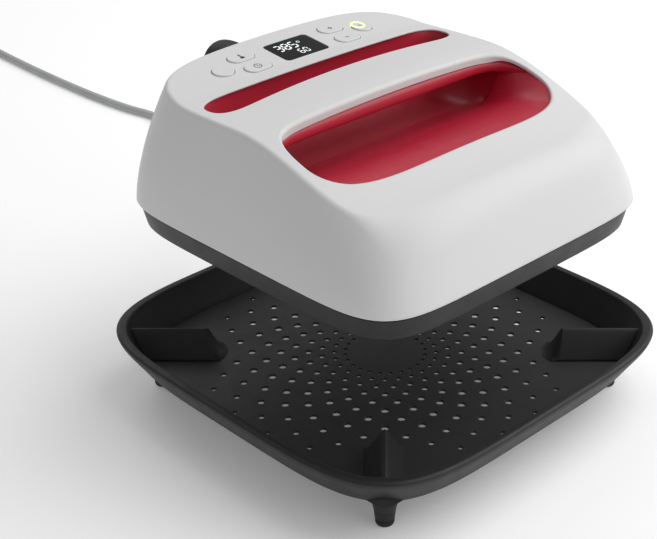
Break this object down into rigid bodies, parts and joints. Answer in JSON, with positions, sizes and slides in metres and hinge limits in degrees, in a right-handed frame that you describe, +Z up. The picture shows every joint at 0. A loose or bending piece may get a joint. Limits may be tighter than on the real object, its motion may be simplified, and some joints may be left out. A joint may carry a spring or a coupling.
{
  "type": "heat press",
  "caption": "Hand-held square heat press with a bridge handle, control panel and heated plate, shown lifted above its vented docking base",
  "frame": {"origin": "Centre of the docking base at the level of the table it stands on.", "axes": "+Z up, -Y toward the user at the front, +Y toward the control panel and the cord, +X to the right of the user."},
  "size_m": [0.3479, 1.0939, 0.2397],
  "materials": {
    "white_shell": "glossy white moulding",
    "red_liner": "satin deep red moulding",
    "black_plastic": "fine grained black moulding",
    "charcoal_plastic": "heat resistant dark moulding",
    "dark_rubber": "matt dark rubber",
    "steel": "plain bright steel",
    "plate_aluminium": "non-stick coated aluminium",
    "display_glass": "black display window",
    "light_ring": "lit green diffuser",
    "circuit_board": "solder masked board with parts",
    "fibre_pad": "pressed fibre insulation",
    "bead_ceramic": "small potted sensor",
    "cord_rubber": "satin grey cord jacket"
  },
  "bodies": {
    "docking_base": {"base_tray": "black_plastic", "vent_floor": "charcoal_plastic", "cord_run": "cord_rubber", "cord_coil": "cord_rubber", "cord_tie": "dark_rubber", "plug_body": "cord_rubber", "plug_blade_left": "steel", "plug_blade_right": "steel", "plug_earth_pin": "steel", "corner_rest_front_left": "charcoal_plastic", "corner_rest_front_right": "charcoal_plastic", "corner_rest_back_left": "charcoal_plastic", "corner_rest_back_right": "charcoal_plastic", "foot_front_left": "black_plastic", "foot_front_right": "black_plastic", "foot_back_left": "black_plastic", "foot_back_right": "black_plastic", "foot_pad_front_left": "dark_rubber", "foot_pad_front_right": "dark_rubber", "foot_pad_back_left": "dark_rubber", "foot_pad_back_right": "dark_rubber", "foot_screw_front_left": "steel", "foot_screw_front_right": "steel", "foot_screw_back_left": "steel", "foot_screw_back_right": "steel"},
    "press": {"top_shell": "white_shell", "grip_liner": "red_liner", "display_window": "display_glass", "control_board": "circuit_board", "power_board": "circuit_board", "skirt": "black_plastic", "heat_plate": "plate_aluminium", "heating_element": "steel", "insulation_pad": "fibre_pad", "heat_shield": "steel", "thermistor": "bead_ceramic", "thermal_fuse": "steel", "cord_gland": "black_plastic", "cord_boot": "dark_rubber", "cord_drop": "cord_rubber", "plate_standoff_front_left": "steel", "plate_standoff_front_right": "steel", "plate_standoff_back_left": "steel", "plate_standoff_back_right": "steel", "plate_screw_front_left": "steel", "plate_screw_front_right": "steel", "plate_screw_back_left": "steel", "plate_screw_back_right": "steel", "skirt_screw_left": "steel", "skirt_screw_right": "steel", "skirt_screw_front": "steel", "skirt_screw_back": "steel"},
    "start_button_cap": {"start_button": "white_shell"},
    "power_button_cap": {"power_button": "white_shell", "power_light_ring": "light_ring"},
    "temperature_button_cap": {"temperature_button": "white_shell"},
    "timer_button_cap": {"timer_button": "white_shell"},
    "plus_button_cap": {"plus_button": "white_shell"},
    "minus_button_cap": {"minus_button": "white_shell"}
  },
  "joints": [
    {"name": "press_lift", "type": "slide", "parent": "docking_base", "child": "press", "axis": [0, 0, 1], "range_m": [-0.086, 0.05], "deforming": ["cord_drop"]},
    {"name": "start_press", "type": "slide", "parent": "press", "child": "start_button_cap", "axis": [0, 0, 1], "range_m": [-0.0006, 0], "stiffness_N_per_m": 2000},
    {"name": "power_press", "type": "slide", "parent": "press", "child": "power_button_cap", "axis": [0, 0, 1], "range_m": [-0.0006, 0], "stiffness_N_per_m": 2000},
    {"name": "temperature_press", "type": "slide", "parent": "press", "child": "temperature_button_cap", "axis": [0, 0, 1], "range_m": [-0.0006, 0], "stiffness_N_per_m": 2000},
    {"name": "timer_press", "type": "slide", "parent": "press", "child": "timer_button_cap", "axis": [0, 0, 1], "range_m": [-0.0006, 0], "stiffness_N_per_m": 2000},
    {"name": "plus_press", "type": "slide", "parent": "press", "child": "plus_button_cap", "axis": [0, 0, 1], "range_m": [-0.0006, 0], "stiffness_N_per_m": 2000},
    {"name": "minus_press", "type": "slide", "parent": "press", "child": "minus_button_cap", "axis": [0, 0, 1], "range_m": [-0.0006, 0], "stiffness_N_per_m": 2000}
  ]
}
